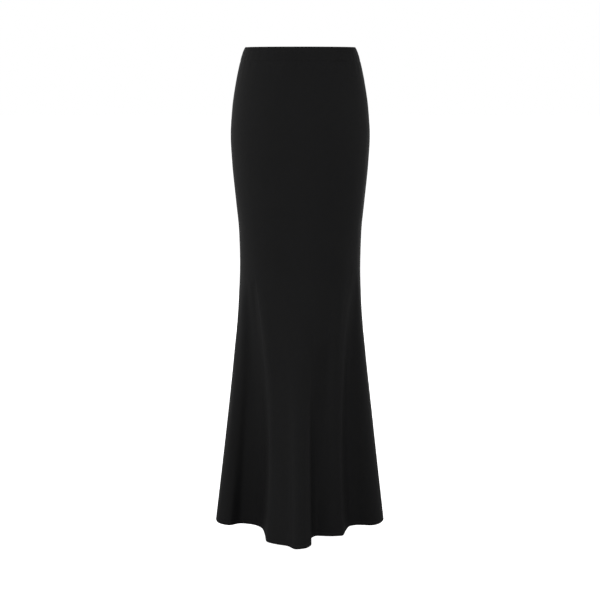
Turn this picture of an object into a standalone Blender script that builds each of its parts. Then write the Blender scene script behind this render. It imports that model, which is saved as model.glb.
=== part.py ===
"""Mermaid fishtail skirt: front panel, back panel and elasticated waistband, filled out as when it is worn.

Metres, +Z up, front facing -Y. The origin is on the body's axis at the middle of the waistband's height.
SECTIONS gives the smooth ring of cloth at each height. FOLDS gives the plan of the wavy hem, a row for each
crest, valley and wall. Below the knee the cloth moves from its smooth ring to that plan, so that every row
of FOLDS is a soft fold line that widens and deepens towards the hem.
"""
import math
from collections import namedtuple

import bmesh
import bpy
from mathutils import Vector

# Driving dimensions
LENGTH = 1.060            # top edge of the waistband to the hem
BAND_HEIGHT = 0.029       # finished height of the waistband
BAND_WALL = 0.0028        # cloth folded over its elastic
CLOTH_WALL = 0.0015       # crepe, a little thicker than life
SEAM_GAP = 0.0003         # air between neighbouring pieces
SEAM_EDGE = 0.004         # strip beside a seam with a column of its own, so both edges face alike
KNEE = 0.475              # narrowest place, below the top edge
FULLNESS = 0.020          # how far a ring is fuller than an ellipse on its diagonals
TURN_GROWTH = 2.5         # how soon below the knee the folds gather towards the front
FOLD_GROWTH = 1.08        # 1 is a fold that opens evenly, more is one that opens late

BAND_ROUNDING = 0.0011    # radius on the waistband's folded edges
BAND_COLUMNS = 64
BAND_LEVELS = 3
PANEL_LEVELS = 20
COLUMNS_PER_FRONT_FOLD = 2
COLUMNS_PER_BACK_FOLD = 3

CREPE = (0.0116, 0.0116, 0.0120, 1.0)

# Ring of the cloth's outer face at each depth below the top edge
Section = namedtuple("Section", "below half_width front back")
SECTIONS = (
    Section(0.000, 0.1203, 0.0910, 0.0900),
    Section(0.029, 0.1295, 0.0960, 0.0960),
    Section(0.075, 0.1396, 0.1020, 0.1045),
    Section(0.130, 0.1478, 0.1065, 0.1125),
    Section(0.189, 0.1517, 0.1080, 0.1170),
    Section(0.250, 0.1487, 0.1065, 0.1155),
    Section(0.330, 0.1412, 0.1035, 0.1100),
    Section(0.400, 0.1348, 0.1015, 0.1055),
    Section(0.475, 0.1331, 0.1010, 0.1035),
    Section(0.560, 0.1362, 0.1040, 0.1060),
    Section(0.670, 0.1465, 0.1125, 0.1145),
    Section(0.800, 0.1613, 0.1245, 0.1265),
    Section(0.930, 0.1763, 0.1370, 0.1390),
    Section(1.060, 0.1917, 0.1500, 0.1520),
)

# Plan of the hem, once round from the left seam. turn is the bearing from the front in degrees, at the knee
# and at the hem; across and forward place the hem; starts is the depth below the top where the fold begins.
Fold = namedtuple("Fold", "name knee_turn hem_turn across forward starts")
FRONT_FOLDS = (
    Fold("left seam", -90, -90, -0.1932, -0.008, 0.60),
    Fold("left rim", -83, -78, -0.1868, 0.023, 0.56),
    Fold("left crest", -73, -64, -0.1590, 0.042, 0.56),
    Fold("left valley", -62, -44, -0.1350, 0.029, 0.50),
    Fold("left shelf", -56, -35, -0.1040, 0.039, 0.51),
    Fold("centre flute, left foot", -52, -28, -0.0850, 0.066, 0.50),
    Fold("centre flute, left wall", -49, -21, -0.0780, 0.110, 0.49),
    Fold("centre flute, left edge", -46, -14.5, -0.0742, 0.149, 0.47),
    Fold("centre flute, left facet", -33, -9.5, -0.0500, 0.169, 0.49),
    Fold("centre flute, step", -21, -5.5, -0.0280, 0.179, 0.53),
    Fold("centre flute, crest", -9, -1.5, -0.0090, 0.200, 0.56),
    Fold("centre flute, right facet", 2, 2.5, 0.0120, 0.193, 0.56),
    Fold("centre flute, right edge", 11, 7, 0.0245, 0.168, 0.58),
    Fold("centre flute, right wall", 15, 10.5, 0.0225, 0.138, 0.63),
    Fold("right valley", 21, 14.5, 0.0370, 0.113, 0.63),
    Fold("right plane", 37, 22, 0.0650, 0.116, 0.60),
    Fold("right plane, edge", 54, 30, 0.0930, 0.112, 0.46),
    Fold("right wall", 58, 35, 0.1022, 0.076, 0.48),
    Fold("right foot", 62, 40, 0.1120, 0.048, 0.48),
    Fold("side valley", 67, 50, 0.1310, 0.040, 0.48),
    Fold("side crest", 75, 64, 0.1590, 0.043, 0.53),
    Fold("right rim", 83, 78, 0.1820, 0.026, 0.57),
)
BACK_FOLDS = (
    Fold("right seam", 90, 90, 0.1912, -0.008, 0.60),
    Fold("right back crest", 110, 110, 0.1680, -0.080, 0.58),
    Fold("right back valley", 124, 124, 0.1310, -0.083, 0.64),
    Fold("right flute, outer edge", 133, 132, 0.1090, -0.137, 0.60),
    Fold("right flute, inner edge", 149, 147, 0.0680, -0.168, 0.57),
    Fold("middle valley", 157, 155, 0.0430, -0.130, 0.62),
    Fold("centre flute, right edge", 164, 163, 0.0240, -0.187, 0.57),
    Fold("centre flute, left edge", 183, 181, -0.0230, -0.203, 0.54),
    Fold("left valley", 193, 192, -0.0470, -0.147, 0.66),
    Fold("left flute, inner edge", 203, 202, -0.0730, -0.176, 0.58),
    Fold("left flute, outer edge", 220, 219, -0.1120, -0.146, 0.58),
    Fold("left back valley", 232, 231, -0.1290, -0.088, 0.66),
    Fold("left back crest", 249, 249, -0.1690, -0.084, 0.57),
)


def empty_the_scene():
    for thing in list(bpy.data.objects):
        bpy.data.objects.remove(thing, do_unlink=True)


def smooth_curve(places, values, place):
    """Value at place on a curve through the given values that never swings past any of them."""
    last = len(places) - 2
    span = max(i for i in range(last + 1) if i == 0 or places[i] <= place)
    steps = [places[i + 1] - places[i] for i in range(last + 1)]
    rises = [(values[i + 1] - values[i]) / steps[i] for i in range(last + 1)]

    def slope(knot):
        if knot == 0 or knot > last:
            return rises[min(knot, last)]
        before, after = rises[knot - 1], rises[knot]
        if before * after <= 0:
            return 0.0
        return 2 * before * after / (before + after)

    width = steps[span]
    t = (place - places[span]) / width
    start = (2 * t**3 - 3 * t**2 + 1) * values[span] + (t**3 - 2 * t**2 + t) * width * slope(span)
    finish = (3 * t**2 - 2 * t**3) * values[span + 1] + (t**3 - t**2) * width * slope(span + 1)
    return start + finish


def ring_point(below, turn):
    """Point (across, y) of the smooth ring at this depth and bearing."""
    depths = [row.below for row in SECTIONS]
    half_width = smooth_curve(depths, [row.half_width for row in SECTIONS], below)
    front = smooth_curve(depths, [row.front for row in SECTIONS], below)
    back = smooth_curve(depths, [row.back for row in SECTIONS], below)
    across, forward = math.sin(turn), math.cos(turn)
    fuller = 1 + FULLNESS * math.sin(2 * turn) ** 2
    reach = front if forward > 0 else back
    return half_width * across * fuller, -reach * forward * fuller


def closed_folds():
    """Every fold once round, with two more at each end so that the curves run on through both seams."""
    once = FRONT_FOLDS + BACK_FOLDS
    before = [row._replace(knee_turn=row.knee_turn - 360, hem_turn=row.hem_turn - 360) for row in once[-2:]]
    after = [row._replace(knee_turn=row.knee_turn + 360, hem_turn=row.hem_turn + 360) for row in once[:3]]
    return before + list(once) + after


FOLDS = closed_folds()
FIRST = 2
RIGHT_SEAM = FIRST + len(FRONT_FOLDS)
LAST = RIGHT_SEAM + len(BACK_FOLDS)


def fold_distances():
    """How far each fold is round the hem, from chord to chord."""
    distances = [0.0]
    for one, other in zip(FOLDS, FOLDS[1:]):
        chord = math.hypot(other.across - one.across, other.forward - one.forward)
        distances.append(distances[-1] + chord)
    return distances


DISTANCES = fold_distances()


def fold_between(distance):
    """Values of every column of FOLDS at this distance round the hem."""
    columns = ("knee_turn", "hem_turn", "across", "forward", "starts")
    values = [smooth_curve(DISTANCES, [getattr(row, name) for row in FOLDS], distance) for name in columns]
    return Fold("between", *values)


def cloth_point(fold, below):
    """Point on the cloth's outer face, on this fold line and at this depth below the top edge."""
    fall = max(0.0, (below - KNEE) / (LENGTH - KNEE))
    gathered = 1 - (1 - fall) ** TURN_GROWTH
    turn = math.radians(fold.knee_turn + (fold.hem_turn - fold.knee_turn) * gathered)
    across, y = ring_point(below, turn)
    hem_across, hem_y = ring_point(LENGTH, math.radians(fold.hem_turn))
    growth = max(0.0, (below - fold.starts) / (LENGTH - fold.starts)) ** FOLD_GROWTH
    across += (fold.across - hem_across) * growth
    y += (-fold.forward - hem_y) * growth
    return across, y, BAND_HEIGHT / 2 - below


def open_seams(points):
    """Draw the two end points of a row in from the seams, towards their neighbours, by half the gap."""
    points = [Vector(point) for point in points]
    points[0] += (points[1] - points[0]).normalized() * SEAM_GAP / 2
    points[-1] += (points[-2] - points[-1]).normalized() * SEAM_GAP / 2
    return points


def crepe_material(name):
    material = bpy.data.materials.new(name)
    material.use_nodes = True
    shader = material.node_tree.nodes["Principled BSDF"]
    shader.inputs["Base Color"].default_value = CREPE
    shader.inputs["Roughness"].default_value = 0.75
    shader.inputs["Metallic"].default_value = 0.0
    return material


def cloth_sheet(name, grid, closed, collection, material):
    """Object whose open surface runs through a grid of points: rows from the top down, columns round."""
    mesh = bpy.data.meshes.new(name)
    sheet = bmesh.new()
    rows = [[sheet.verts.new(point) for point in row] for row in grid]
    for upper, lower in zip(rows, rows[1:]):
        count = len(upper) if closed else len(upper) - 1
        for i in range(count):
            j = (i + 1) % len(upper)
            sheet.faces.new((upper[i], lower[i], lower[j], upper[j]))
    sheet.to_mesh(mesh)
    sheet.free()
    mesh.materials.append(material)
    mesh.shade_smooth()
    piece = bpy.data.objects.new(name, mesh)
    collection.objects.link(piece)
    return piece


def thicken(piece, wall):
    """Give an open sheet its wall, inwards from its outer face."""
    solidify = piece.modifiers.new("Wall", "SOLIDIFY")
    solidify.thickness = wall
    solidify.offset = -1.0
    solidify.use_even_offset = True
    solidify.use_rim = True


def panel(name, first, last, steps, collection):
    """Panel from one seam's fold row to the other's, from the waistband's seam down to the hem."""
    distances = []
    for index in range(first, last):
        chord = DISTANCES[index + 1] - DISTANCES[index]
        distances += [DISTANCES[index] + chord * step / steps for step in range(steps)]
    distances.append(DISTANCES[last])
    distances.insert(1, distances[0] + SEAM_EDGE)
    distances.insert(-1, distances[-1] - SEAM_EDGE)
    folds = [fold_between(distance) for distance in distances]
    top = BAND_HEIGHT + SEAM_GAP
    depths = [top + (LENGTH - top) * level / PANEL_LEVELS for level in range(PANEL_LEVELS + 1)]
    grid = [open_seams([cloth_point(fold, below) for fold in folds]) for below in depths]
    piece = cloth_sheet(name, grid, False, collection, crepe_material("crepe " + name.replace("_", " ")))
    thicken(piece, CLOTH_WALL)
    return piece


def waistband(collection):
    """Folded casing with its elastic, one closed band round the waist."""
    grid = []
    for level in range(BAND_LEVELS + 1):
        below = BAND_HEIGHT * level / BAND_LEVELS
        turns = [2 * math.pi * column / BAND_COLUMNS for column in range(BAND_COLUMNS)]
        grid.append([(*ring_point(below, turn), BAND_HEIGHT / 2 - below) for turn in turns])
    piece = cloth_sheet("waistband", grid, True, collection, crepe_material("crepe waistband"))
    thicken(piece, BAND_WALL)
    rounding = piece.modifiers.new("Folded edges", "BEVEL")
    rounding.width = BAND_ROUNDING
    rounding.segments = 1
    rounding.limit_method = "ANGLE"
    rounding.angle_limit = math.radians(50)
    return piece


def build_skirt():
    empty_the_scene()
    collection = bpy.data.collections.new("mermaid_fishtail_skirt")
    bpy.context.scene.collection.children.link(collection)
    panel("front_panel", FIRST, RIGHT_SEAM, COLUMNS_PER_FRONT_FOLD, collection)
    panel("back_panel", RIGHT_SEAM, LAST, COLUMNS_PER_BACK_FOLD, collection)
    waistband(collection)


build_skirt()
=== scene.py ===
"""Black mermaid fishtail skirt in matte crepe: the cloth, its seams, hem and stitching, and a plain studio.

Metres, +Z up, front facing -Y, origin at the middle of the waistband. The frame's nodes give the length and
the waistband's depth. The tables here repeat the cut's own rings and folds, and the finer creases, seams and
stitches go on top of them.
"""
import math
from collections import namedtuple

import bpy
import numpy as np
from bpy.props import FloatProperty, IntProperty, PointerProperty, StringProperty
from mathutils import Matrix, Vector


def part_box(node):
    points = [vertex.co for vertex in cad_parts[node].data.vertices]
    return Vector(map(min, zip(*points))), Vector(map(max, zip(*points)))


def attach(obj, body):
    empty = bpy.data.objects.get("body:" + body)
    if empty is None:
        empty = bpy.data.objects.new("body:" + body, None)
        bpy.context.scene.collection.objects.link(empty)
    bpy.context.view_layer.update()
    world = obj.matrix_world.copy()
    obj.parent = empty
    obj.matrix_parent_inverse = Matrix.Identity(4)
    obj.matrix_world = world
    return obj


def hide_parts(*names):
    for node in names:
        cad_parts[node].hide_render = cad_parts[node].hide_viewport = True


bl_info = {
    "name": "Mermaid Fishtail Skirt",
    "version": (1, 0, 0),
    "blender": (4, 5, 0),
    "location": "3D View > Sidebar > Skirt",
    "description": "Builds a long crepe mermaid skirt with its waistband, seams, hem and studio",
    "category": "Object",
}

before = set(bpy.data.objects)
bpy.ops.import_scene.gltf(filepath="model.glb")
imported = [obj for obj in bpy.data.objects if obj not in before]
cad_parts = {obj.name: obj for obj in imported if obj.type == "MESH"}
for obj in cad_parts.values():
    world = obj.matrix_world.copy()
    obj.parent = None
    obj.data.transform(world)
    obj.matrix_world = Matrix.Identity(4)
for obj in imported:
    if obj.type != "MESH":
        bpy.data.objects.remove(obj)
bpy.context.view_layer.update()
FRONT_LOW, FRONT_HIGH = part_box("front_panel")

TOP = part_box("waistband")[1].z
HEM = FRONT_LOW.z
LENGTH = TOP - HEM
SEAM_BELOW = TOP - FRONT_HIGH.z       # depth of the waistband's seam
KNEE = 0.475                          # narrowest place, below the top edge
FULLNESS = 0.020                      # how far a ring is fuller than an ellipse on its diagonals
TURN_GROWTH = 2.5                     # how soon below the knee the folds gather towards the front
FOLD_GROWTH = 1.08                    # how late the folds open

# Ring of the cloth's outer face at each depth below the top edge
Section = namedtuple("Section", "below half_width front back")
SECTIONS = (
    Section(0.000, 0.1203, 0.0910, 0.0900),
    Section(0.029, 0.1295, 0.0960, 0.0960),
    Section(0.075, 0.1396, 0.1020, 0.1045),
    Section(0.130, 0.1478, 0.1065, 0.1125),
    Section(0.189, 0.1517, 0.1080, 0.1170),
    Section(0.250, 0.1487, 0.1065, 0.1155),
    Section(0.330, 0.1412, 0.1035, 0.1100),
    Section(0.400, 0.1348, 0.1015, 0.1055),
    Section(0.475, 0.1331, 0.1010, 0.1035),
    Section(0.560, 0.1362, 0.1040, 0.1060),
    Section(0.670, 0.1465, 0.1125, 0.1145),
    Section(0.800, 0.1613, 0.1245, 0.1265),
    Section(0.930, 0.1763, 0.1370, 0.1390),
    Section(1.060, 0.1917, 0.1500, 0.1520),
)

# Plan of the hem, once round from the left seam: bearings from the front at the knee and at the hem in
# degrees, the place on the hem, and the depth below the top where the fold begins
Fold = namedtuple("Fold", "name knee_turn hem_turn across forward starts")
FRONT_FOLDS = (
    Fold("left seam", -90, -90, -0.1932, -0.008, 0.60),
    Fold("left rim", -83, -78, -0.1868, 0.023, 0.56),
    Fold("left crest", -73, -64, -0.1590, 0.042, 0.56),
    Fold("left valley", -62, -44, -0.1350, 0.029, 0.50),
    Fold("left shelf", -56, -35, -0.1040, 0.039, 0.51),
    Fold("centre flute, left foot", -52, -28, -0.0850, 0.066, 0.50),
    Fold("centre flute, left wall", -49, -21, -0.0780, 0.110, 0.49),
    Fold("centre flute, left edge", -46, -14.5, -0.0742, 0.149, 0.47),
    Fold("centre flute, left facet", -33, -9.5, -0.0500, 0.169, 0.49),
    Fold("centre flute, step", -21, -5.5, -0.0280, 0.179, 0.53),
    Fold("centre flute, crest", -9, -1.5, -0.0090, 0.200, 0.56),
    Fold("centre flute, right facet", 2, 2.5, 0.0120, 0.193, 0.56),
    Fold("centre flute, right edge", 11, 7, 0.0245, 0.168, 0.58),
    Fold("centre flute, right wall", 15, 10.5, 0.0225, 0.138, 0.63),
    Fold("right valley", 21, 14.5, 0.0370, 0.113, 0.63),
    Fold("right plane", 37, 22, 0.0650, 0.116, 0.60),
    Fold("right plane, edge", 54, 30, 0.0930, 0.112, 0.46),
    Fold("right wall", 58, 35, 0.1022, 0.076, 0.48),
    Fold("right foot", 62, 40, 0.1120, 0.048, 0.48),
    Fold("side valley", 67, 50, 0.1310, 0.040, 0.48),
    Fold("side crest", 75, 64, 0.1590, 0.043, 0.53),
    Fold("right rim", 83, 78, 0.1820, 0.026, 0.57),
)
BACK_FOLDS = (
    Fold("right seam", 90, 90, 0.1912, -0.008, 0.60),
    Fold("right back crest", 110, 110, 0.1680, -0.080, 0.58),
    Fold("right back valley", 124, 124, 0.1310, -0.083, 0.64),
    Fold("right flute, outer edge", 133, 132, 0.1090, -0.137, 0.60),
    Fold("right flute, inner edge", 149, 147, 0.0680, -0.168, 0.57),
    Fold("middle valley", 157, 155, 0.0430, -0.130, 0.62),
    Fold("centre flute, right edge", 164, 163, 0.0240, -0.187, 0.57),
    Fold("centre flute, left edge", 183, 181, -0.0230, -0.203, 0.54),
    Fold("left valley", 193, 192, -0.0470, -0.147, 0.66),
    Fold("left flute, inner edge", 203, 202, -0.0730, -0.176, 0.58),
    Fold("left flute, outer edge", 220, 219, -0.1120, -0.146, 0.58),
    Fold("left back valley", 232, 231, -0.1290, -0.088, 0.66),
    Fold("left back crest", 249, 249, -0.1690, -0.084, 0.57),
)

# Broad soft folds and smaller creases on top of the rings: turn and lean are bearings (degrees, and degrees
# for each metre down), width is half across in degrees, depth is outwards in metres
Crease = namedtuple("Crease", "turn top bottom lean width depth")
CREASES = (
    Crease(-66, 0.150, 0.400, 45, 9, -0.0006),
    Crease(-30, 0.060, 0.290, 25, 11, 0.0005),
    Crease(12, 0.110, 0.360, -12, 12, -0.0004),
    Crease(41, 0.170, 0.470, -38, 10, -0.0006),
    Crease(71, 0.080, 0.330, -30, 8, 0.0005),
    Crease(-88, 0.420, 0.820, 0, 12, 0.0014),
    Crease(-12, 0.420, 0.700, 6, 9, 0.0004),
    Crease(-42, 0.360, 1.060, 0, 9, 0.0028),
    Crease(43, 0.340, 1.060, 0, 9, 0.0040),
    Crease(34, 0.430, 1.060, 0, 11, -0.0050),
    Crease(-61, 0.500, 1.000, 0, 6, -0.0050),
    Crease(-77, 0.660, 1.040, 0, 4, 0.0030),
    Crease(65, 0.470, 1.060, 0, 6, -0.0060),
    Crease(116, 0.070, 0.300, 28, 10, 0.0006),
    Crease(143, 0.150, 0.400, -20, 9, -0.0007),
    Crease(168, 0.230, 0.480, 14, 12, 0.0006),
    Crease(200, 0.180, 0.430, 18, 10, -0.0007),
    Crease(224, 0.090, 0.350, -22, 9, 0.0005),
    Crease(252, 0.260, 0.560, 12, 9, -0.0005),
)

# Soft lights: bearing from the front and distance from the axis, height as depth below the top edge, the
# depth that it aims at, its size and its power
Lamp = namedtuple("Lamp", "name turn away below aims_below width height watts")
LAMPS = (
    Lamp("left_softbox", -60, 2.7, 0.3, 0.5, 1.6, 2.2, 9.0),
    Lamp("right_softbox", 60, 2.7, 0.3, 0.5, 1.6, 2.2, 6.3),
    Lamp("front_softbox", 0, 3.6, 0.3, 0.5, 2.0, 1.4, 6.1),
    Lamp("right_front_softbox", 35, 3.2, 0.2, 0.5, 1.4, 2.0, 3.9),
    Lamp("left_side_softbox", -95, 2.8, 0.4, 0.5, 1.4, 2.2, 8.8),
    Lamp("right_side_softbox", 95, 2.8, 0.4, 0.5, 1.4, 2.2, 6.7),
    Lamp("left_rim_softbox", -125, 2.8, 0.3, 0.5, 1.4, 2.2, 4.3),
    Lamp("right_rim_softbox", 125, 2.8, 0.4, 0.5, 1.4, 2.2, 2.2),
    Lamp("left_back_softbox", -152, 2.8, 0.4, 0.5, 1.4, 2.2, 5.4),
    Lamp("right_back_softbox", 152, 2.8, 0.4, 0.5, 1.4, 2.2, 4.5),
    Lamp("high_front_softbox", 0, 2.6, -1.8, 0.5, 2.4, 1.4, 5.5),
    Lamp("high_left_softbox", -45, 2.6, -1.6, 0.5, 1.6, 1.4, 7.0),
    Lamp("high_left_side_softbox", -105, 2.4, -1.4, 0.3, 1.4, 1.4, 3.0),
    Lamp("high_right_softbox", 45, 2.6, -1.6, 0.5, 1.6, 1.4, 4.6),
    Lamp("low_front_softbox", 0, 2.8, 1.0, 0.6, 2.4, 0.8, 9.2),
    Lamp("low_left_softbox", -40, 2.8, 1.1, 0.65, 1.4, 0.8, 4.0),
    Lamp("overhead_softbox", 0, 0.0, -2.2, 0.5, 2.4, 2.4, 14.2),
    Lamp("back_softbox", 180, 3.6, 0.3, 0.5, 2.0, 1.4, 8.4),
    Lamp("high_back_softbox", 180, 2.6, -1.8, 0.5, 2.4, 1.4, 9.3),
    Lamp("low_back_softbox", 172, 2.8, 1.0, 0.6, 2.4, 0.8, 9.3),
)

# A panel runs from its first fold to its last, with a number of columns to each fold
Panel = namedtuple("Panel", "piece stitches node first last steps")
FIRST = 2                                        # index of the left seam once the folds are closed
MIDDLE = FIRST + len(FRONT_FOLDS)                # and of the right seam
FRONT = Panel("front_panel_cloth", "front_hem_stitches", "front_panel", FIRST, MIDDLE, 9)
BACK = Panel("back_panel_cloth", "back_hem_stitches", "back_panel", MIDDLE, MIDDLE + len(BACK_FOLDS), 15)

SEAM_GAP = 0.0003                                # between two pieces at a seam
SEAM_COLUMNS = (0.0007, 0.0016, 0.0028, 0.0045)  # extra columns beside a seam
CLOSEST_COLUMNS = 0.0003                         # columns nearer than this to the last one are left out
RUN_ON, RUN_ON_STEP = 4, 0.002                   # columns past a seam, cut off once the normals are known
EDGE_ROW = 0.0002                                # a row this close to an edge keeps the face flat up to it
SEAM_ROWS = (EDGE_ROW, 0.001, 0.002, 0.0032, 0.0045)             # extra rows below the waistband's seam
STITCH_ROWS = (-0.0025, -0.001, 0.0, 0.001, 0.002, 0.0035)       # extra rows by the top of the hem's turning

HEM_EASE, KNEE_EASE = 0.003, 0.011               # how far each way a fold's edge is eased, in hem distance
EASE_SHARES = ((0.15, -1.0), (0.2, -0.5), (0.3, 0.0), (0.2, 0.5), (0.15, 1.0))
ROLL_WIDTH, DRAW_WIDTH = 0.0014, 0.007           # beside a side seam the cloth rolls in, and is drawn wider
DRAW_SHARE = 0.35                                # depth of that wider draw, as a share of the roll
TUG, SHORT_TUG, LONG_TUG = 0.4, 0.023, 0.15      # how uneven it is down the seam, and over what lengths
TUG_PHASES = (0.0, 1.7)
SEAM_DIP, SEAM_DIP_WIDTH = 0.0003, 0.0030        # how far the waistband's seam draws the cloth in
GATHER_START, GATHER_FADE = 0.003, 0.022         # how soon below that seam the gathers start, and die out
HEM_ROLL = 0.0010                                # radius of the fold at the hem
ROLL_ROWS, TURNING_ROWS = 6, 5
HEM_STITCH_UP = 0.0015                           # hem stitches, from the top of the turning
HEM_BITE, HEM_BITE_WIDTH = 0.00022, 0.0012       # how deep they pull the cloth in

BAND_WALL = 0.0028                               # waistband with its elastic
BAND_LEAN, LEAN_DEPTH = 0.0016, 0.012            # its outer face leans in towards the top, and how far down
BAND_COLUMNS = 420
INNER_ROWS, OVER_ROWS, OUTER_ROWS = 12, 11, 18   # rows of its inside, its rolled top and its outside

ALLOWANCE_WALL = 0.0012                          # two layers of cloth overlocked together
ALLOWANCE_ROWS, ALLOWANCE_COLUMNS = 130, 6
ALLOWANCE_WAVE = 0.0003                          # how much the waist seam's allowance waves at its free edge
ALLOWANCE_START = 0.0002                         # a side seam's allowance, from the seam
ROOM_ABOVE, ROOM_BELOW = 0.001, 0.0005           # its room to the waist's allowance and to the hem's turning
FEELER = 0.001                                   # how deep a second point is taken to find the way outwards
WAIST_GIRTH = 0.70                               # round the waist seam, to count its stitches
OVERLOCK_WIDTH = 0.0045
PROUD = 0.3                                      # a thread's middle above the cloth, in threads
STITCH_GAP = 0.1                                 # a needle stitch starts and ends this far in, in stitches
ASKEW = (0.31, 0.17, 0.93)                       # no thread runs this way, so it gives each one its sides
DOWN = (0.0, 0.0, -1.0)
FLOOR_SIZE = 60.0
WAVE_REPEAT = math.pi / 10                       # a wave texture of scale 1 repeats every pi/10 metres


# ---------------------------------------------------------------- sizes and colours that a user may change

def size(name, description, default, low, high):
    """A length in metres that a user may change."""
    return FloatProperty(name=name, description=description, default=default, min=low, max=high,
                         subtype="DISTANCE", unit="LENGTH")


class SkirtSizes(bpy.types.PropertyGroup):
    cloth: size("Cloth", "Thickness of the crepe", 0.0009, 0.0005, 0.0015)
    hem_turning: size("Hem turning", "Depth of the narrow turned hem", 0.010, 0.004, 0.03)
    allowance: size("Seam allowance", "Width of the overlocked seam allowance inside", 0.008, 0.004, 0.015)
    stitch: size("Stitch", "Length of one machine stitch", 0.0028, 0.0015, 0.005)
    thread: size("Thread", "Thickness of the sewing thread", 0.0004, 0.0002, 0.001)
    seam_dip: size("Seam dip", "How far the cloth rolls in at a side seam", 0.0010, 0.0, 0.003)
    gathers: size("Gathers", "Height of the gathers under the elastic", 0.00025, 0.0, 0.002)
    ripples: size("Ripples", "Height of the ripples on the waistband", 0.00018, 0.0, 0.001)
    levels: IntProperty(
        name="Levels", description="Rows of faces from the waistband to the hem", default=170, min=40,
        max=200)


class SkirtColours(bpy.types.PropertyGroup):
    crepe: StringProperty(name="Crepe", description="sRGB colour of the dyed crepe", default="#151516")
    thread: StringProperty(name="Thread", description="sRGB colour of the sewing thread", default="#1c1c1e")
    floor: StringProperty(name="Floor", description="sRGB colour of the studio floor", default="#ffffff")


class StudioSettings(bpy.types.PropertyGroup):
    distance: size("Camera distance", "From the camera to the skirt's axis", 3.0, 1.0, 8.0)
    camera_across: size("Camera across", "How far the camera is to the right of the skirt's axis",
                        -0.00055, -1.0, 1.0)
    eye_below_top: size("Camera below top", "How far the camera is below the waistband's top edge",
                        0.05, -0.5, 1.0)
    lens: FloatProperty(
        name="Lens", description="Focal length on a 36 mm sensor", default=82.15, min=20, max=200,
        subtype="DISTANCE_CAMERA")
    pitch: FloatProperty(
        name="Pitch", description="How far the camera looks down", default=0.16587, min=0.0, max=1.5,
        subtype="ANGLE", unit="ROTATION")
    floor_gap: size("Floor below hem", "Room between the hem and the floor", 0.06, 0.0, 1.0)
    ambient: FloatProperty(
        name="Ambient", description="Strength of the even light from all round", default=0.10, min=0.0,
        max=2.0)


# ---------------------------------------------------------------- curves and the form of the skirt

def smooth_curve(places, values, at):
    """Monotone cubic through the values, read at an array of places; it never swings past a value."""
    places, values, at = (np.asarray(item, float) for item in (places, values, at))
    steps = np.diff(places)
    rises = np.diff(values) / steps
    slopes = np.concatenate(([rises[0]], np.zeros(len(rises) - 1), [rises[-1]]))
    alike = rises[:-1] * rises[1:] > 0
    slopes[1:-1][alike] = (2 * rises[:-1] * rises[1:])[alike] / (rises[:-1] + rises[1:])[alike]
    span = np.clip(np.searchsorted(places, at, side="right") - 1, 0, len(steps) - 1)
    width = steps[span]
    t = (at - places[span]) / width
    start = (2 * t**3 - 3 * t**2 + 1) * values[span] + (t**3 - 2 * t**2 + t) * width * slopes[span]
    return start + (3 * t**2 - 2 * t**3) * values[span + 1] + (t**3 - t**2) * width * slopes[span + 1]


def closed_folds():
    """Every fold once round, with a few more at each end so that the curves run on through both seams."""
    once = FRONT_FOLDS + BACK_FOLDS

    def turned(rows, by):
        return [row._replace(knee_turn=row.knee_turn + by, hem_turn=row.hem_turn + by) for row in rows]

    return turned(once[-FIRST:], -360) + list(once) + turned(once[:FIRST + 1], 360)


FOLDS = closed_folds()
HEM_PLAN = np.array([(row.across, row.forward) for row in FOLDS])
DISTANCES = np.concatenate(([0.0], np.cumsum(np.linalg.norm(np.diff(HEM_PLAN, axis=0), axis=1))))


def fold_columns(distances):
    """Columns of FOLDS at these distances round the hem, as arrays."""
    names = ("knee_turn", "hem_turn", "across", "forward", "starts")
    values = [smooth_curve(DISTANCES, [getattr(row, name) for row in FOLDS], distances) for name in names]
    return Fold("between", *values)


def ring_points(below, turn):
    """Across and y of the smooth ring at these depths and bearings (radians)."""
    depths = [row.below for row in SECTIONS]
    half_width, front, back = (
        smooth_curve(depths, [getattr(row, name) for row in SECTIONS], below)
        for name in ("half_width", "front", "back"))
    fuller = 1 + FULLNESS * np.sin(2 * turn) ** 2
    reach = np.where(np.cos(turn) > 0, front, back)
    return half_width * np.sin(turn) * fuller, -reach * np.cos(turn) * fuller


def form_points(distances, below):
    """The cut's own form: a row of points for each depth, a column for each distance round the hem."""
    fold = fold_columns(distances)
    below = np.asarray(below, float)[:, None]
    fall = np.clip((below - KNEE) / (LENGTH - KNEE), 0, None)
    gathered = 1 - (1 - fall) ** TURN_GROWTH
    turn = np.radians(fold.knee_turn + (fold.hem_turn - fold.knee_turn) * gathered)
    across, y = ring_points(below, turn)
    hem_across, hem_y = ring_points(np.array([[LENGTH]]), np.radians(fold.hem_turn))
    growth = np.clip((below - fold.starts) / (LENGTH - fold.starts), 0, None) ** FOLD_GROWTH
    across = across + (fold.across - hem_across) * growth
    y = y + (-fold.forward - hem_y) * growth
    return np.stack([across, y], axis=-1)


def cloth_points(distances, below):
    """Outer face of the cloth: the form eased over some millimetres each way, more so higher up, as cloth
    has no hard edge."""
    down = np.asarray(below, float)[:, None]
    reach = HEM_EASE + (KNEE_EASE - HEM_EASE) * np.clip((LENGTH - down) / (LENGTH - KNEE), 0, 1)
    eased = sum(share * form_points(distances + step * reach, below) for share, step in EASE_SHARES)
    height = TOP - np.broadcast_to(down, eased.shape[:2])
    return np.concatenate([eased, height[..., None]], axis=-1)


def soft_step(value):
    """0 below 0, 1 above 1, smooth between."""
    t = np.clip(value, 0, 1)
    return t * t * (3 - 2 * t)


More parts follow.
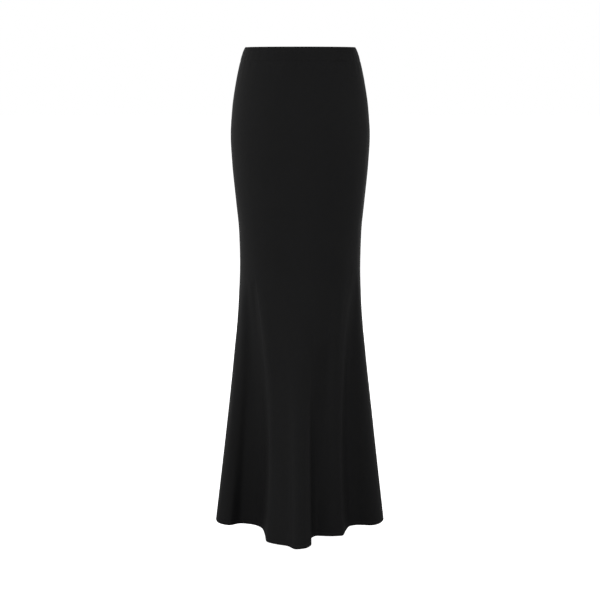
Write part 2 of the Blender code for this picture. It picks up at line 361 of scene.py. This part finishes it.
def crease_relief(turn, below):
    """How far the secondary creases stand out, in metres, at these bearings (degrees) and depths."""
    relief = np.zeros(np.broadcast(turn, below).shape)
    for crease in CREASES:
        middle = crease.turn + crease.lean * (below - crease.top)
        away = (turn - middle + 180) % 360 - 180
        span = crease.bottom - crease.top
        rising = soft_step((below - crease.top) / (0.4 * span))
        dying = soft_step((crease.bottom - below) / (0.5 * span))
        relief += crease.depth * np.exp(-(away / crease.width) ** 2) * (rising * dying)
    return relief


def uneven_wave(turns, count, drift, drifts):
    """A wave that runs count times round, its crests drifting closer and farther apart."""
    return np.sin(turns * count + drift * np.sin(turns * drifts))


def unit(vectors):
    """The same vectors at length 1."""
    return vectors / np.linalg.norm(vectors, axis=-1, keepdims=True)


def arc_lengths(points):
    """Distance along each row of a grid of points, from its first column."""
    steps = np.linalg.norm(np.diff(points, axis=1), axis=-1)
    return np.concatenate([np.zeros((len(points), 1)), np.cumsum(steps, axis=1)], axis=1)


def lengths_down(points):
    """Distance of each row of a grid from its first one, averaged along the row."""
    drops = np.linalg.norm(np.diff(points, axis=0), axis=-1).mean(axis=1)
    return np.concatenate([[0.0], np.cumsum(drops)])


# ---------------------------------------------------------------- meshes

def new_object(name, vertices, faces, material):
    """A smooth-shaded mesh in the scene that belongs to the part's one body."""
    mesh = bpy.data.meshes.new(name)
    mesh.from_pydata(np.asarray(vertices, float).reshape(-1, 3).tolist(), [], faces)
    mesh.materials.append(material)
    mesh.shade_smooth()
    piece = bpy.data.objects.new(name, mesh)
    bpy.context.scene.collection.objects.link(piece)
    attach(piece, "root")
    return piece


def grid_faces(rows, columns, closed=False):
    """Quads of a grid whose rows run down and whose columns run round, facing outwards."""
    faces = []
    for row in range(rows - 1):
        here, below = row * columns, (row + 1) * columns
        for column in range(columns if closed else columns - 1):
            right = (column + 1) % columns
            faces.append((here + column, below + column, below + right, here + right))
    return faces


def add_cloth_map(piece, along, down):
    """UV map in metres of cloth, so that the weave keeps its size everywhere."""
    layer = piece.data.uv_layers.new(name="Cloth")
    corners = np.empty(len(piece.data.loops), dtype=np.int32)
    piece.data.loops.foreach_get("vertex_index", corners)
    uv = np.stack([np.ravel(along)[corners], np.ravel(down)[corners]], axis=-1)
    layer.data.foreach_set("uv", uv.astype(np.float32).ravel())


def thicken(piece, wall):
    """Give a surface a wall on its inner side."""
    solidify = piece.modifiers.new("Wall", "SOLIDIFY")
    solidify.thickness = wall
    solidify.offset = -1.0
    solidify.use_even_offset = True


def threads(name, paths, sides=5):
    """One joined mesh of round threads, each along its own path of points."""
    radius = bpy.context.scene.skirt_sizes.thread / 2
    angles = np.linspace(0, 2 * math.pi, sides, endpoint=False)
    vertices, faces, start = [], [], 0
    for path in paths:
        path = np.asarray(path, float)
        ahead = unit(np.gradient(path, axis=0))
        side = unit(np.cross(ahead, ASKEW))
        over = np.cross(side, ahead)
        ring = (np.cos(angles)[None, :, None] * side[:, None]
                + np.sin(angles)[None, :, None] * over[:, None])
        vertices.append((path[:, None] + radius * ring).reshape(-1, 3))
        for index in range(len(path) - 1):
            here, there = start + index * sides, start + (index + 1) * sides
            for k in range(sides):
                after = (k + 1) % sides
                faces.append((here + k, there + k, there + after, here + after))
        end = start + len(path) * sides
        faces.append(tuple(range(start, start + sides)))
        faces.append(tuple(reversed(range(end - sides, end))))
        start = end
    return new_object(name, np.concatenate(vertices), faces, shared_material("black sewing thread"))


# ---------------------------------------------------------------- materials

def colour(code):
    """Linear RGBA of an sRGB hex value."""
    parts = [int(code[i:i + 2], 16) / 255 for i in (1, 3, 5)]
    linear = [part / 12.92 if part <= 0.04045 else ((part + 0.055) / 1.055) ** 2.4 for part in parts]
    return (*linear, 1.0)


def add_node(tree, kind, settings=None, links=None):
    """Add a node, set its attributes and input values, and link inputs to (node, output) pairs."""
    made = tree.nodes.new(kind)
    for name, value in (settings or {}).items():
        if isinstance(name, str) and hasattr(made, name):
            setattr(made, name, value)
        else:
            made.inputs[name].default_value = value
    for name, (source, output) in (links or {}).items():
        tree.links.new(source.outputs[output], made.inputs[name])
    return made


def new_material(name, roughness, ior, sheen, sheen_roughness):
    """A material with one Principled shader, its even values set on the shader's own sockets."""
    material = bpy.data.materials.new(name)
    material.use_nodes = True
    shader = material.node_tree.nodes["Principled BSDF"]
    shader.inputs["Metallic"].default_value = 0.0
    shader.inputs["Roughness"].default_value = roughness
    shader.inputs["IOR"].default_value = ior
    shader.inputs["Sheen Weight"].default_value = sheen
    shader.inputs["Sheen Roughness"].default_value = sheen_roughness
    return material, material.node_tree, shader


def tint(tree, shader, code, factor):
    """Colour the shader with an sRGB colour times a factor that changes over the surface."""
    tinted = add_node(tree, "ShaderNodeVectorMath", {"operation": "SCALE", 0: colour(code)[:3]},
                      {"Scale": factor})
    tree.links.new(tinted.outputs[0], shader.inputs["Base Color"])


def crepe():
    """Dyed polyester crepe, woven from hard-twisted yarn: a dry, fine-pebbled face that scatters light
    almost evenly, with a trace of sheen where it turns away."""
    code = bpy.context.scene.skirt_colours.crepe
    material, tree, shader = new_material("black crepe", 0.62, 1.30, 0.01, 0.35)
    place = add_node(tree, "ShaderNodeTexCoord")
    # A crepe's pebble is about 0.6 mm; it is drawn at 1.5 mm so that it shows from across a room
    pebble = add_node(tree, "ShaderNodeTexNoise", {"Scale": 1 / 0.0015, "Detail": 3.0, "Roughness": 0.6},
                      {"Vector": (place, "Object")})
    # Warp yarns show as ribs down the cloth, every 1.2 mm (0.3 mm in the real one)
    ribs = add_node(tree, "ShaderNodeTexWave",
                    {"wave_type": "BANDS", "bands_direction": "X", "Scale": WAVE_REPEAT / 0.0012,
                     "Distortion": 2.0, "Detail": 2.0}, {"Vector": (place, "UV")})
    height = add_node(tree, "ShaderNodeMath", {"operation": "MULTIPLY_ADD", 1: 0.3},
                      {0: (ribs, "Fac"), 2: (pebble, "Fac")})
    bump = add_node(tree, "ShaderNodeBump", {"Strength": 0.25, "Distance": 0.0004},
                    {"Height": (height, 0)})
    tree.links.new(bump.outputs["Normal"], shader.inputs["Normal"])
    # The dye takes a little unevenly over a hand's breadth; the tips of the pebble catch more light, so they
    # are painted lighter and its hollows darker, a painted highlight and painted shade
    cloudy = add_node(tree, "ShaderNodeTexNoise", {"Scale": 1 / 0.09, "Detail": 2.0},
                      {"Vector": (place, "Object")})
    broad = add_node(tree, "ShaderNodeMapRange",
                     {"From Min": 0.3, "From Max": 0.7, "To Min": 0.94, "To Max": 1.06},
                     {"Value": (cloudy, "Fac")})
    # Painted highlight on the pebble's tips and painted shade in its hollows, following the bump's own noise
    fine = add_node(tree, "ShaderNodeMapRange",
                    {"From Min": 0.3, "From Max": 0.7, "To Min": 0.85, "To Max": 1.15},
                    {"Value": (pebble, "Fac")})
    both = add_node(tree, "ShaderNodeMath", {"operation": "MULTIPLY"},
                    {0: (broad, "Result"), 1: (fine, "Result")})
    tint(tree, shader, code, (both, 0))
    return material


def sewing_thread():
    """Spun polyester thread: round and two-ply, a touch glossier than the cloth that it holds."""
    material, tree, shader = new_material("black sewing thread", 0.5, 1.40, 0.05, 0.3)
    place = add_node(tree, "ShaderNodeTexCoord")
    # The plies twist once in 0.8 mm
    plies = add_node(tree, "ShaderNodeTexWave",
                     {"bands_direction": "DIAGONAL", "Scale": WAVE_REPEAT / 0.0008},
                     {"Vector": (place, "Object")})
    bump = add_node(tree, "ShaderNodeBump", {"Strength": 0.3, "Distance": 0.0001},
                    {"Height": (plies, "Fac")})
    tree.links.new(bump.outputs["Normal"], shader.inputs["Normal"])
    # Painted shade in the grooves between the plies and a painted highlight on their crowns, following the
    # twist
    shade = add_node(tree, "ShaderNodeMapRange", {"To Min": 0.8, "To Max": 1.2},
                     {"Value": (plies, "Fac")})
    tint(tree, shader, bpy.context.scene.skirt_colours.thread, (shade, "Result"))
    return material


MATERIALS = {"black crepe": crepe, "black sewing thread": sewing_thread}


def shared_material(name):
    """The skirt's one material of this name, made the first time it is asked for."""
    return bpy.data.materials.get(name) or MATERIALS[name]()


# ---------------------------------------------------------------- cloth surfaces

def panel_distances(panel):
    """Distances round the hem of a panel's columns: closer together by the seams, and a few past each."""
    start, end = DISTANCES[panel.first], DISTANCES[panel.last]
    places = [start, end]
    for index in range(panel.first, panel.last):
        places += list(np.linspace(DISTANCES[index], DISTANCES[index + 1], panel.steps + 1)[1:])
    for beside in SEAM_COLUMNS:
        places += [start + beside, end - beside]
    past = [RUN_ON_STEP * k for k in range(1, RUN_ON + 1)]
    places += [start - step for step in past] + [end + step for step in past]
    places = np.unique(np.round(places, 6))
    close = np.diff(places, prepend=-1.0) < CLOSEST_COLUMNS
    return places[~close]


def panel_depths():
    """Depths of a panel's rows: closer together at the waistband's seam and at the hem's stitching."""
    sizes = bpy.context.scene.skirt_sizes
    even = np.linspace(SEAM_BELOW, LENGTH - HEM_ROLL, sizes.levels)
    near_top = SEAM_BELOW + np.array(SEAM_ROWS)
    near_hem = LENGTH - sizes.hem_turning + np.array(STITCH_ROWS)
    return np.unique(np.round(np.concatenate([even, near_top, near_hem]), 6))


def seam_pull(points, seam_columns, down):
    """The cloth rolls in towards the side seams, a little unevenly, as machine stitching draws it."""
    dip = bpy.context.scene.skirt_sizes.seam_dip
    arcs = arc_lengths(points)
    pull = 0.0
    for column, phase in zip(seam_columns, TUG_PHASES):
        away = np.abs(arcs - arcs[:, column:column + 1])
        short, long = (np.sin(2 * math.pi * down / length + phase) for length in (SHORT_TUG, LONG_TUG))
        roll = np.exp(-(away / ROLL_WIDTH) ** 2)
        draw = DRAW_SHARE * (1 + TUG * short * long) * np.exp(-(away / DRAW_WIDTH) ** 2)
        pull = pull - dip * (roll + draw)
    return pull


def panel_surface(panel):
    """Grid of a panel's outer face, its outward normals and the depths of its rows."""
    sizes = bpy.context.scene.skirt_sizes
    distances, depths = panel_distances(panel), panel_depths()
    points = cloth_points(distances, depths)
    seams = [int(np.argmin(np.abs(distances - DISTANCES[index]))) for index in (panel.first, panel.last)]
    normals = unit(np.cross(np.gradient(points, depths, axis=0), np.gradient(points, distances, axis=1)))
    down = depths[:, None]
    turn = fold_columns(distances).knee_turn
    relief = crease_relief(turn[None, :], down) + seam_pull(points, seams, down)
    # Soft gathers under the elastic die out over a few centimetres
    under = down - SEAM_BELOW
    fade = np.exp(-under / GATHER_FADE) * soft_step(under / GATHER_START)
    relief = relief + sizes.gathers * fade * uneven_wave(np.radians(turn)[None, :], 33, 2.2, 5)
    # The waistband's seam pulls the top edge in, and the hem's stitching bites a little
    relief = relief - SEAM_DIP * np.exp(-(under / SEAM_DIP_WIDTH) ** 2)
    stitched = LENGTH - sizes.hem_turning + HEM_STITCH_UP
    relief = relief - HEM_BITE * np.exp(-((down - stitched) / HEM_BITE_WIDTH) ** 2)
    points = (points + normals * relief[..., None])[:, seams[0]:seams[1] + 1]
    normals = normals[:, seams[0]:seams[1] + 1]
    return points, normals, depths


def level_at(points, normals, depths, below):
    """Row of points and normals of a panel at one depth below the top edge."""
    row = int(np.clip(np.searchsorted(depths, below), 1, len(depths) - 1))
    share = np.clip((below - depths[row - 1]) / (depths[row] - depths[row - 1]), 0, 1)
    return tuple(rows[row - 1] * (1 - share) + rows[row] * share for rows in (points, normals))


def hem_rows(points, normals):
    """Rows that roll the cloth under at the hem and run it up inside, level with the grid's own points."""
    turning = bpy.context.scene.skirt_sizes.hem_turning
    last, normal = points[-1], normals[-1].copy()
    normal[:, 2] = 0
    normal = unit(normal)
    rows = []
    for angle in np.linspace(0, math.pi, ROLL_ROWS + 1)[1:]:
        under = np.array([0, 0, HEM_ROLL * math.sin(angle)])
        rows.append(last - normal * HEM_ROLL * (1 - math.cos(angle)) - under)
    depths = TOP - points[:, 0, 2]
    for up in np.linspace(0, turning - HEM_ROLL, TURNING_ROWS + 1)[1:]:
        level, _ = level_at(points, normals, depths, depths[-1] - up)
        rows.append(level - normal * 2 * HEM_ROLL)
    return np.array(rows)


def build_panel(panel):
    """A panel with its turned hem, in place of its node: the piece, its flat size and its area."""
    points, normals, depths = panel_surface(panel)
    turned = hem_rows(points, normals)
    grid = np.concatenate([points, turned])
    rows, columns = grid.shape[:2]
    piece = new_object(panel.piece, grid, grid_faces(rows, columns), shared_material("black crepe"))
    arcs = arc_lengths(grid)
    down = lengths_down(grid)
    middle = arcs[:, columns // 2:columns // 2 + 1]
    add_cloth_map(piece, arcs - middle, np.repeat(down[:, None], columns, axis=1))
    thicken(piece, bpy.context.scene.skirt_sizes.cloth)
    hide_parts(panel.node)
    corner = grid[:-1, :-1]
    area = np.linalg.norm(np.cross(grid[1:, :-1] - corner, grid[:-1, 1:] - corner), axis=-1).sum()
    flat = (float(arc_lengths(points)[-1, -1]), float(down[-1]))
    return piece, flat, float(area)


def inside_point(points, normals, depths, arc, below, inset):
    """Point on the inner side of a panel, at a distance along its row (from its end where that is below
    zero) and a depth below the top edge."""
    level, level_normals = level_at(points, normals, depths, below)
    arcs = arc_lengths(level[None])[0]
    if arc < 0:
        arc += arcs[-1]
    point, normal = (np.array([np.interp(arc, arcs, row[:, axis]) for axis in range(3)])
                     for row in (level, level_normals))
    return point - unit(normal) * inset


def hem_stitches(panel):
    """Lockstitches round the hem, on both faces, along one level line."""
    sizes = bpy.context.scene.skirt_sizes
    points, normals, depths = panel_surface(panel)
    below = LENGTH - sizes.hem_turning + HEM_STITCH_UP
    level, level_normals = level_at(points, normals, depths, below)
    level_normals = unit(level_normals)
    arcs = arc_lengths(level[None])[0]
    along = np.array([0.10, 0.22, 0.5, 0.78, 0.90])         # each stitch dives into the cloth at both ends
    sunk = np.array([0.9, 0.1, 0.0, 0.1, 0.9]) * sizes.thread
    paths = []
    for inset, into in ((-PROUD * sizes.thread, 1), (2 * HEM_ROLL + PROUD * sizes.thread, -1)):
        for number in range(int(arcs[-1] / sizes.stitch)):
            marks = (number + along) * sizes.stitch
            at, out = (np.stack([np.interp(marks, arcs, row[:, axis]) for axis in range(3)], axis=-1)
                       for row in (level, level_normals))
            paths.append(at - out * (inset + into * sunk)[:, None])
    return paths


def sew_panel(panel):
    """A panel, and the stitches of its hem."""
    piece, flat, area = build_panel(panel)
    stitches = threads(panel.stitches, hem_stitches(panel))


class SKIRT_OT_front_panel(bpy.types.Operator):
    """Front panel: smooth over waist and hip, closest at the knee, then a centre flute and side planes"""
    bl_idname = "skirt.front_panel"
    bl_label = "Front panel"

    def execute(self, context):
        sew_panel(FRONT)
        return {"FINISHED"}


class SKIRT_OT_back_panel(bpy.types.Operator):
    """Back panel: the same cut, falling in uneven flutes of its own"""
    bl_idname = "skirt.back_panel"
    bl_label = "Back panel"

    def execute(self, context):
        sew_panel(BACK)
        return {"FINISHED"}


# ---------------------------------------------------------------- waistband

def band_profile():
    """Depth below the top edge and step in from the outer face: up the inside from the seam, over the
    rolled top, and down the outside to the seam again."""
    height = SEAM_BELOW
    roll = (BAND_WALL - BAND_LEAN) / 2
    inside = [(roll + (height - roll) * t, BAND_WALL) for t in np.linspace(1, 0, INNER_ROWS)[:-1]]
    over = [(roll * (1 - math.sin(angle)), BAND_LEAN + roll * (1 + math.cos(angle)))
            for angle in np.linspace(0, math.pi, OVER_ROWS)]
    depths = [*np.linspace(roll, height, OUTER_ROWS)[1:-1], height - EDGE_ROW, height]
    outside = [(below, BAND_LEAN * max(0, 1 - below / LEAN_DEPTH) ** 2) for below in depths]
    return inside + over + outside


def ring_grid(below, turns):
    """Smooth rings of points at a column of depths and a row of bearings (radians)."""
    across, y = ring_points(below, turns[None, :])
    return np.stack([across, y, TOP - np.broadcast_to(below, across.shape)], axis=-1)


class SKIRT_OT_waistband(bpy.types.Operator):
    """Waistband: crepe folded over a soft elastic, so it ripples slightly and rolls over at the top"""
    bl_idname = "skirt.waistband"
    bl_label = "Waistband"

    def execute(self, context):
        sizes = context.scene.skirt_sizes
        turns = np.linspace(-math.pi / 2, 1.5 * math.pi, BAND_COLUMNS, endpoint=False)
        profile = np.array(band_profile())
        below, inset = profile[:, :1], profile[:, 1:]
        points = ring_grid(below, turns)
        ahead = np.roll(points, -1, axis=1) - np.roll(points, 1, axis=1)
        out = unit(np.cross(DOWN, ahead))
        outside = soft_step(1 - inset / BAND_WALL)
        seam = np.exp(-((below - below.max()) / SEAM_DIP_WIDTH) ** 2)
        # The ripples swell and fade three times round, and are half as high at the seam
        swell = 0.5 + 0.5 * np.cos(turns * 3 + 4 * below / below.max())
        ripple = uneven_wave(turns, 41, 1.8, 6) * swell * (1 - 0.5 * seam)
        relief = sizes.ripples * ripple - SEAM_DIP * seam * outside - inset
        points = points + out * relief[..., None]
        rows, columns = points.shape[:2]
        piece = new_object("waistband_cloth", points, grid_faces(rows, columns, closed=True),
                           shared_material("black crepe"))
        down = lengths_down(points)
        girth = float(arc_lengths(points[-1:])[0, -1])
        along = np.broadcast_to(np.linspace(0, girth, columns)[None, :], (rows, columns))
        add_cloth_map(piece, along, np.repeat(down[:, None], columns, axis=1))
        thicken(piece, sizes.cloth)
        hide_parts("waistband")
        return {"FINISHED"}


# ---------------------------------------------------------------- seam allowances and overlocking

def strip(name, grid):
    """A narrow doubled allowance: a grid of points on its outer side, thickened inwards."""
    rows, columns = grid.shape[:2]
    piece = new_object(name, grid, grid_faces(rows, columns), shared_material("black crepe"))
    arcs = arc_lengths(grid)
    add_cloth_map(piece, arcs, np.repeat(np.linspace(0, 1, rows)[:, None], columns, axis=1))
    thicken(piece, ALLOWANCE_WALL)
    return piece


def overlock(edge, inner, outwards):
    """Threads over a raw edge: a zigzag on each face of the allowance and a line of needle stitches."""
    thread = bpy.context.scene.skirt_sizes.thread
    paths = []
    for face in (PROUD * thread, -ALLOWANCE_WALL - PROUD * thread):
        zigzag = []
        for number in range(len(edge) - 1):
            zigzag.append(inner[number] + outwards[number] * face)
            zigzag.append((edge[number] + edge[number + 1]) / 2 + outwards[number] * face)
        paths.append(zigzag)
    for number in range(len(edge) - 1):
        start, end = inner[number], inner[number + 1]
        face = outwards[number] * (-ALLOWANCE_WALL - 2 * PROUD * thread)
        gap = STITCH_GAP * (end - start)
        paths.append([start + face + gap, (start + end) / 2 + face, end + face - gap])
    return paths


class SKIRT_OT_side_seams(bpy.types.Operator):
    """Side seams inside: both allowances overlocked together and pressed towards the back"""
    bl_idname = "skirt.side_seams"
    bl_label = "Side seams"

    def execute(self, context):
        sizes = context.scene.skirt_sizes
        surface = panel_surface(BACK)
        top = SEAM_BELOW + sizes.allowance + ROOM_ABOVE
        bottom = LENGTH - sizes.hem_turning - ROOM_BELOW
        inset = sizes.cloth + SEAM_GAP
        rows = np.linspace(top, bottom, ALLOWANCE_ROWS)
        stitches = np.linspace(top, bottom, int((bottom - top) / sizes.stitch))
        near, far = ALLOWANCE_START, ALLOWANCE_START + sizes.allowance

        def line(arc, levels, deeper=0.0):
            """Points at one distance from the seam, inside the back panel, at these depths."""
            return np.array([inside_point(*surface, arc, level, inset + deeper) for level in levels])

        for side, sign in (("right", 1), ("left", -1)):
            arcs = np.linspace(near, far, ALLOWANCE_COLUMNS)[::sign]
            strip(f"{side}_side_allowance", np.stack([line(sign * arc, rows) for arc in arcs], axis=1))
            edge = line(sign * far, stitches)
            inner = line(sign * (far - OVERLOCK_WIDTH), stitches)
            outwards = unit(edge - line(sign * far, stitches, FEELER))
            stitched = threads(f"{side}_side_overlocking", overlock(edge, inner, outwards), sides=4)
        return {"FINISHED"}


class SKIRT_OT_waist_seam(bpy.types.Operator):
    """Waist seam inside: the allowance of band and panels overlocked together and hanging down"""
    bl_idname = "skirt.waist_seam"
    bl_label = "Waist seam"

    def execute(self, context):
        sizes = context.scene.skirt_sizes
        count = int(WAIST_GIRTH / sizes.stitch)
        turns = np.linspace(-math.pi / 2, 1.5 * math.pi, count + 1)
        # Four rows: behind the waistband, at its seam, halfway down the allowance, and its free edge
        below = SEAM_BELOW + sizes.allowance * np.array([[-0.4], [0.0], [0.5], [1.0]])
        points = ring_grid(below, turns)
        out = unit(np.cross(DOWN, np.gradient(points, axis=1)))
        loose = np.array([[0.0], [0.0], [0.6], [1.0]])
        wave = ALLOWANCE_WAVE * loose * uneven_wave(turns, 29, 2, 5)
        inset = np.array([[BAND_WALL], [BAND_WALL], [2.4 * sizes.cloth], [2.1 * sizes.cloth]])
        points = points - out * (inset + SEAM_GAP + wave)[..., None]
        strip("waist_allowance", points)
        share = OVERLOCK_WIDTH / (0.5 * sizes.allowance)
        inner = points[-1] + (points[-2] - points[-1]) * share
        stitched = threads("waist_overlocking", overlock(points[-1], inner, out[-1]), sides=4)
        return {"FINISHED"}


# ---------------------------------------------------------------- studio

def aim(place, target):
    """Rotation that turns a light's or a camera's -Z towards the target."""
    return (Vector(target) - Vector(place)).to_track_quat("-Z", "Y").to_euler()


def white_floor(studio):
    """Seamless paper in studio white, matt, bright enough of its own that it holds no shade."""
    material, tree, shader = new_material("white seamless paper", 0.9, 1.45, 0.0, 0.5)
    place = add_node(tree, "ShaderNodeTexCoord")
    # Faint tooth of the paper, 3 mm
    tooth = add_node(tree, "ShaderNodeTexNoise", {"Scale": 1 / 0.003, "Detail": 2.0},
                     {"Vector": (place, "Object")})
    bump = add_node(tree, "ShaderNodeBump", {"Strength": 0.05, "Distance": 0.0002},
                    {"Height": (tooth, "Fac")})
    tree.links.new(bump.outputs["Normal"], shader.inputs["Normal"])
    shader.inputs["Base Color"].default_value = colour(bpy.context.scene.skirt_colours.floor)
    shader.inputs["Emission Color"].default_value = (1.0, 1.0, 1.0, 1.0)
    shader.inputs["Emission Strength"].default_value = 1.0
    bpy.ops.mesh.primitive_plane_add(size=FLOOR_SIZE, location=(0, 0, HEM - studio.floor_gap))
    floor = bpy.context.object
    floor.name = "studio_floor"
    floor.data.materials.append(material)
    floor.visible_diffuse = False
    floor.visible_glossy = False


def studio_world(studio):
    """White behind everything, and an even soft light of its own strength on the cloth."""
    world = bpy.data.worlds.new("studio")
    world.use_nodes = True
    tree = world.node_tree
    tree.nodes.clear()
    seen = add_node(tree, "ShaderNodeBackground", {"Color": (1, 1, 1, 1), "Strength": 1.0})
    lights = add_node(tree, "ShaderNodeBackground", {"Color": (1, 1, 1, 1), "Strength": studio.ambient})
    path = add_node(tree, "ShaderNodeLightPath")
    either = add_node(tree, "ShaderNodeMixShader", {},
                      {0: (path, "Is Camera Ray"), 1: (lights, 0), 2: (seen, 0)})
    add_node(tree, "ShaderNodeOutputWorld", {}, {"Surface": (either, 0)})
    bpy.context.scene.world = world


def softbox(lamp):
    """One soft area light from a row of LAMPS, out of the camera's sight."""
    light = bpy.data.lights.new(lamp.name, "AREA")
    light.shape = "RECTANGLE"
    light.size, light.size_y = lamp.width, lamp.height
    light.energy = lamp.watts
    turn = math.radians(lamp.turn)
    place = (lamp.away * math.sin(turn), -lamp.away * math.cos(turn), TOP - lamp.below)
    source = bpy.data.objects.new(lamp.name, light)
    source.location = place
    source.rotation_euler = aim(place, (0, 0, TOP - lamp.aims_below))
    source.visible_camera = False
    bpy.context.scene.collection.objects.link(source)


class SKIRT_OT_studio(bpy.types.Operator):
    """White floor, soft lights all round and the camera in front of the skirt"""
    bl_idname = "skirt.studio"
    bl_label = "Studio"

    def execute(self, context):
        studio = context.scene.skirt_studio
        white_floor(studio)
        studio_world(studio)
        for lamp in LAMPS:
            softbox(lamp)
        lens = bpy.data.cameras.new("camera")
        lens.lens = studio.lens
        lens.sensor_width = 36.0
        camera = bpy.data.objects.new("camera", lens)
        camera.location = (studio.camera_across, -studio.distance, TOP - studio.eye_below_top)
        camera.rotation_euler = (math.pi / 2 - studio.pitch, 0, 0)
        context.scene.collection.objects.link(camera)
        context.scene.camera = camera
        context.scene.view_settings.view_transform = "Standard"
        return {"FINISHED"}


# ---------------------------------------------------------------- panel and registration

class SKIRT_PT_panel(bpy.types.Panel):
    """Sidebar panel with the skirt's sizes, colours and making steps"""
    bl_idname = "SKIRT_PT_panel"
    bl_label = "Mermaid Skirt"
    bl_space_type = "VIEW_3D"
    bl_region_type = "UI"
    bl_category = "Skirt"

    def draw(self, context):
        scene = context.scene
        for title, group in (("Sizes", scene.skirt_sizes), ("Colours", scene.skirt_colours),
                             ("Studio", scene.skirt_studio)):
            box = self.layout.box()
            box.label(text=title)
            for name in group.bl_rna.properties.keys():
                if name not in {"rna_type", "name"}:
                    box.prop(group, name)
        for step in STEPS:
            self.layout.operator(step.bl_idname)


STEPS = (SKIRT_OT_front_panel, SKIRT_OT_back_panel, SKIRT_OT_waistband, SKIRT_OT_side_seams,
         SKIRT_OT_waist_seam, SKIRT_OT_studio)
GROUPS = {"skirt_sizes": SkirtSizes, "skirt_colours": SkirtColours, "skirt_studio": StudioSettings}


def register():
    for kind in (*GROUPS.values(), *STEPS, SKIRT_PT_panel):
        bpy.utils.register_class(kind)
    for name, kind in GROUPS.items():
        setattr(bpy.types.Scene, name, PointerProperty(type=kind))


def unregister():
    for name in GROUPS:
        delattr(bpy.types.Scene, name)
    for kind in reversed((*GROUPS.values(), *STEPS, SKIRT_PT_panel)):
        bpy.utils.unregister_class(kind)


def main():
    register()
    bpy.ops.skirt.front_panel()
    bpy.ops.skirt.back_panel()
    bpy.ops.skirt.waistband()
    bpy.ops.skirt.side_seams()
    bpy.ops.skirt.waist_seam()
    bpy.ops.skirt.studio()


if __name__ == "__main__":
    main()
